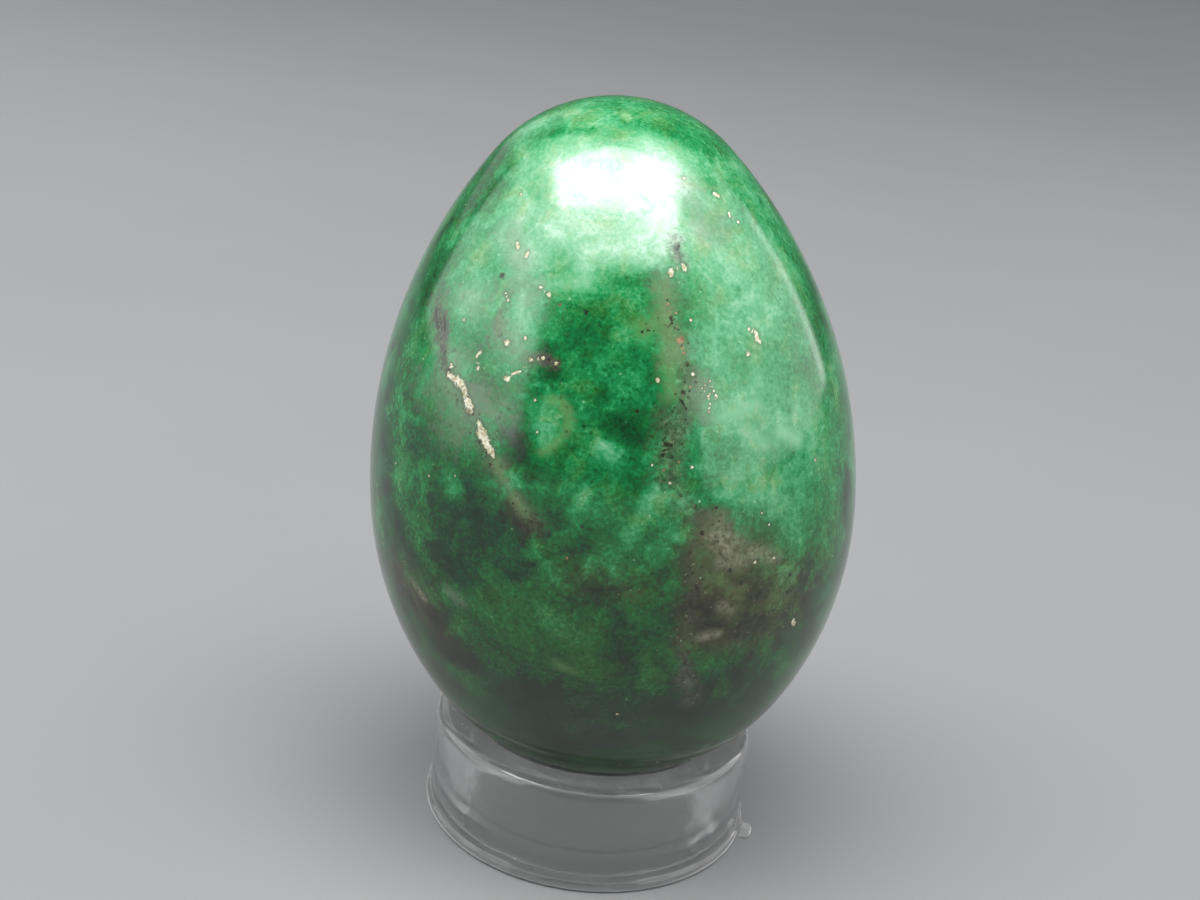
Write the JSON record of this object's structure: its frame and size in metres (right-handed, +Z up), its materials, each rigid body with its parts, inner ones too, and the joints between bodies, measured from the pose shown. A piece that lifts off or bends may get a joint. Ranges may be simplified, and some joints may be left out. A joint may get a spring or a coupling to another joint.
{
  "type": "decorative egg on stand",
  "caption": "Polished green stone egg that rests, blunt end down and a little askew, in a clear moulded ring stand and lifts straight out of it.",
  "frame": {"origin": "middle of the ring's foot, on the surface that it stands on", "axes": "+Z up along the ring's bore, -Y towards the viewer of the picture, the egg's tip leans towards -X"},
  "size_m": [0.037, 0.0368, 0.0572],
  "materials": {
    "stone": "polished",
    "clear_plastic": "clear, glossy"
  },
  "bodies": {
    "stand": {"ring_stand": "clear_plastic"},
    "egg": {"stone_egg": "stone"}
  },
  "joints": [
    {"name": "egg_lift", "type": "slide", "parent": "stand", "child": "egg", "axis": [0, 0, 1], "range_m": [0, 0.04]}
  ]
}
